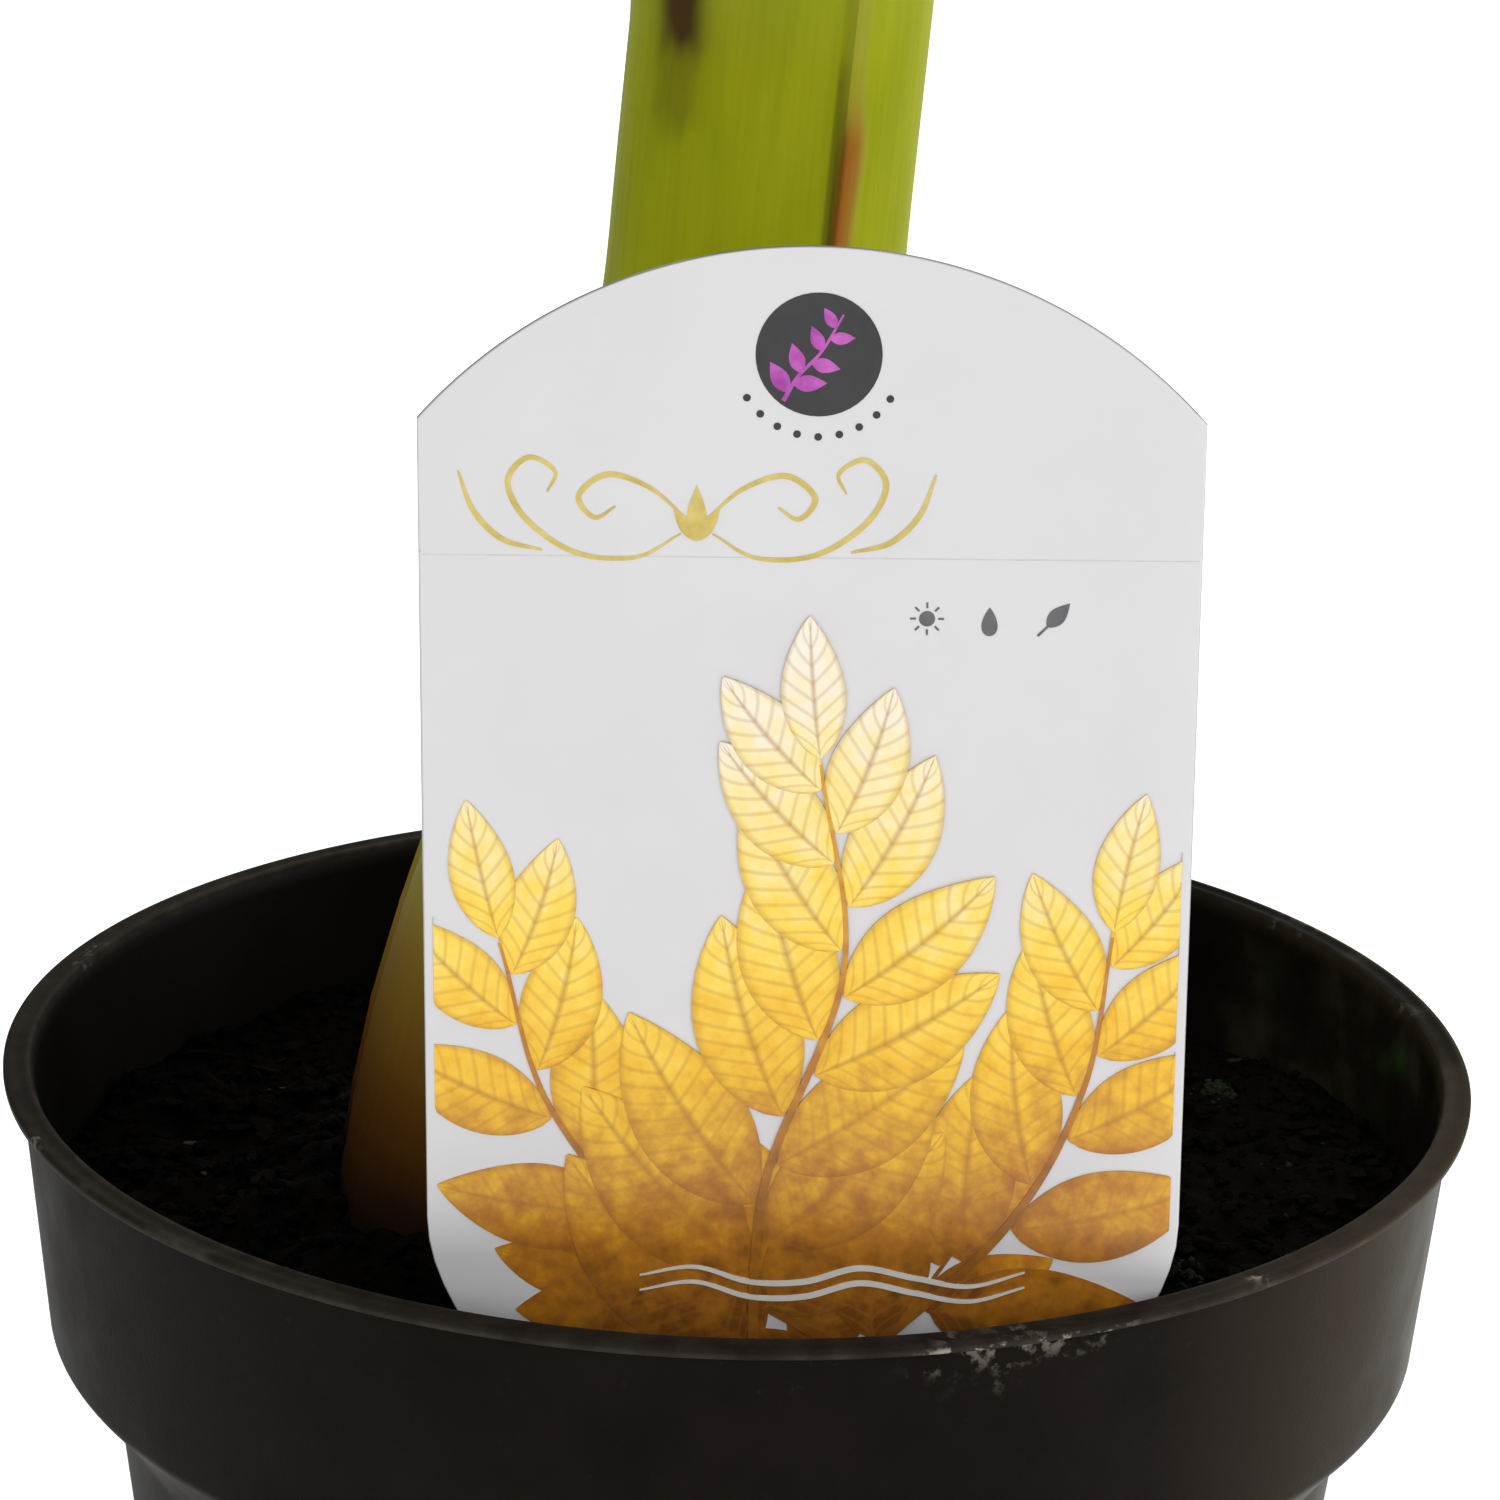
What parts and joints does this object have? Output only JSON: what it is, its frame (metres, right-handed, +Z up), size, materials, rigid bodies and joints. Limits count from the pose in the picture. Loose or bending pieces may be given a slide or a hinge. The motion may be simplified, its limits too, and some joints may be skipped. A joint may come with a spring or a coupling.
{
  "type": "potted chinese dwarf banana plant",
  "caption": "Young potted banana plant with a swollen pseudostem, spreading broad leaves, a furled young leaf, a round nursery pot with soil and an arched plastic plant label.",
  "frame": {"origin": "centre of the pot's flat underside, on the surface that the pot stands on", "axes": "+Z up, -Y towards the side with the plant label, +X to the right seen from that side"},
  "size_m": [0.411, 0.3496, 0.5417],
  "materials": {
    "pot_plastic": "matte",
    "potting_soil": "matte",
    "pseudostem": "satin",
    "petiole": "satin",
    "leaf": "satin",
    "label_plastic": "gloss",
    "label_print_dark": "gloss",
    "label_print_gold": "gloss"
  },
  "bodies": {
    "root": {"pot": "pot_plastic", "soil": "potting_soil", "pseudostem": "pseudostem", "petiole_1": "petiole", "petiole_2": "petiole", "petiole_3": "petiole", "petiole_4": "petiole", "petiole_5": "petiole", "petiole_6": "petiole", "petiole_7": "petiole", "petiole_8": "petiole", "leaf_1": "leaf", "leaf_2": "leaf", "leaf_3": "leaf", "leaf_4": "leaf", "leaf_5": "leaf", "leaf_6": "leaf", "leaf_7": "leaf", "leaf_8": "leaf", "leaf_furled": "leaf", "label": "label_plastic"}
  },
  "joints": []
}
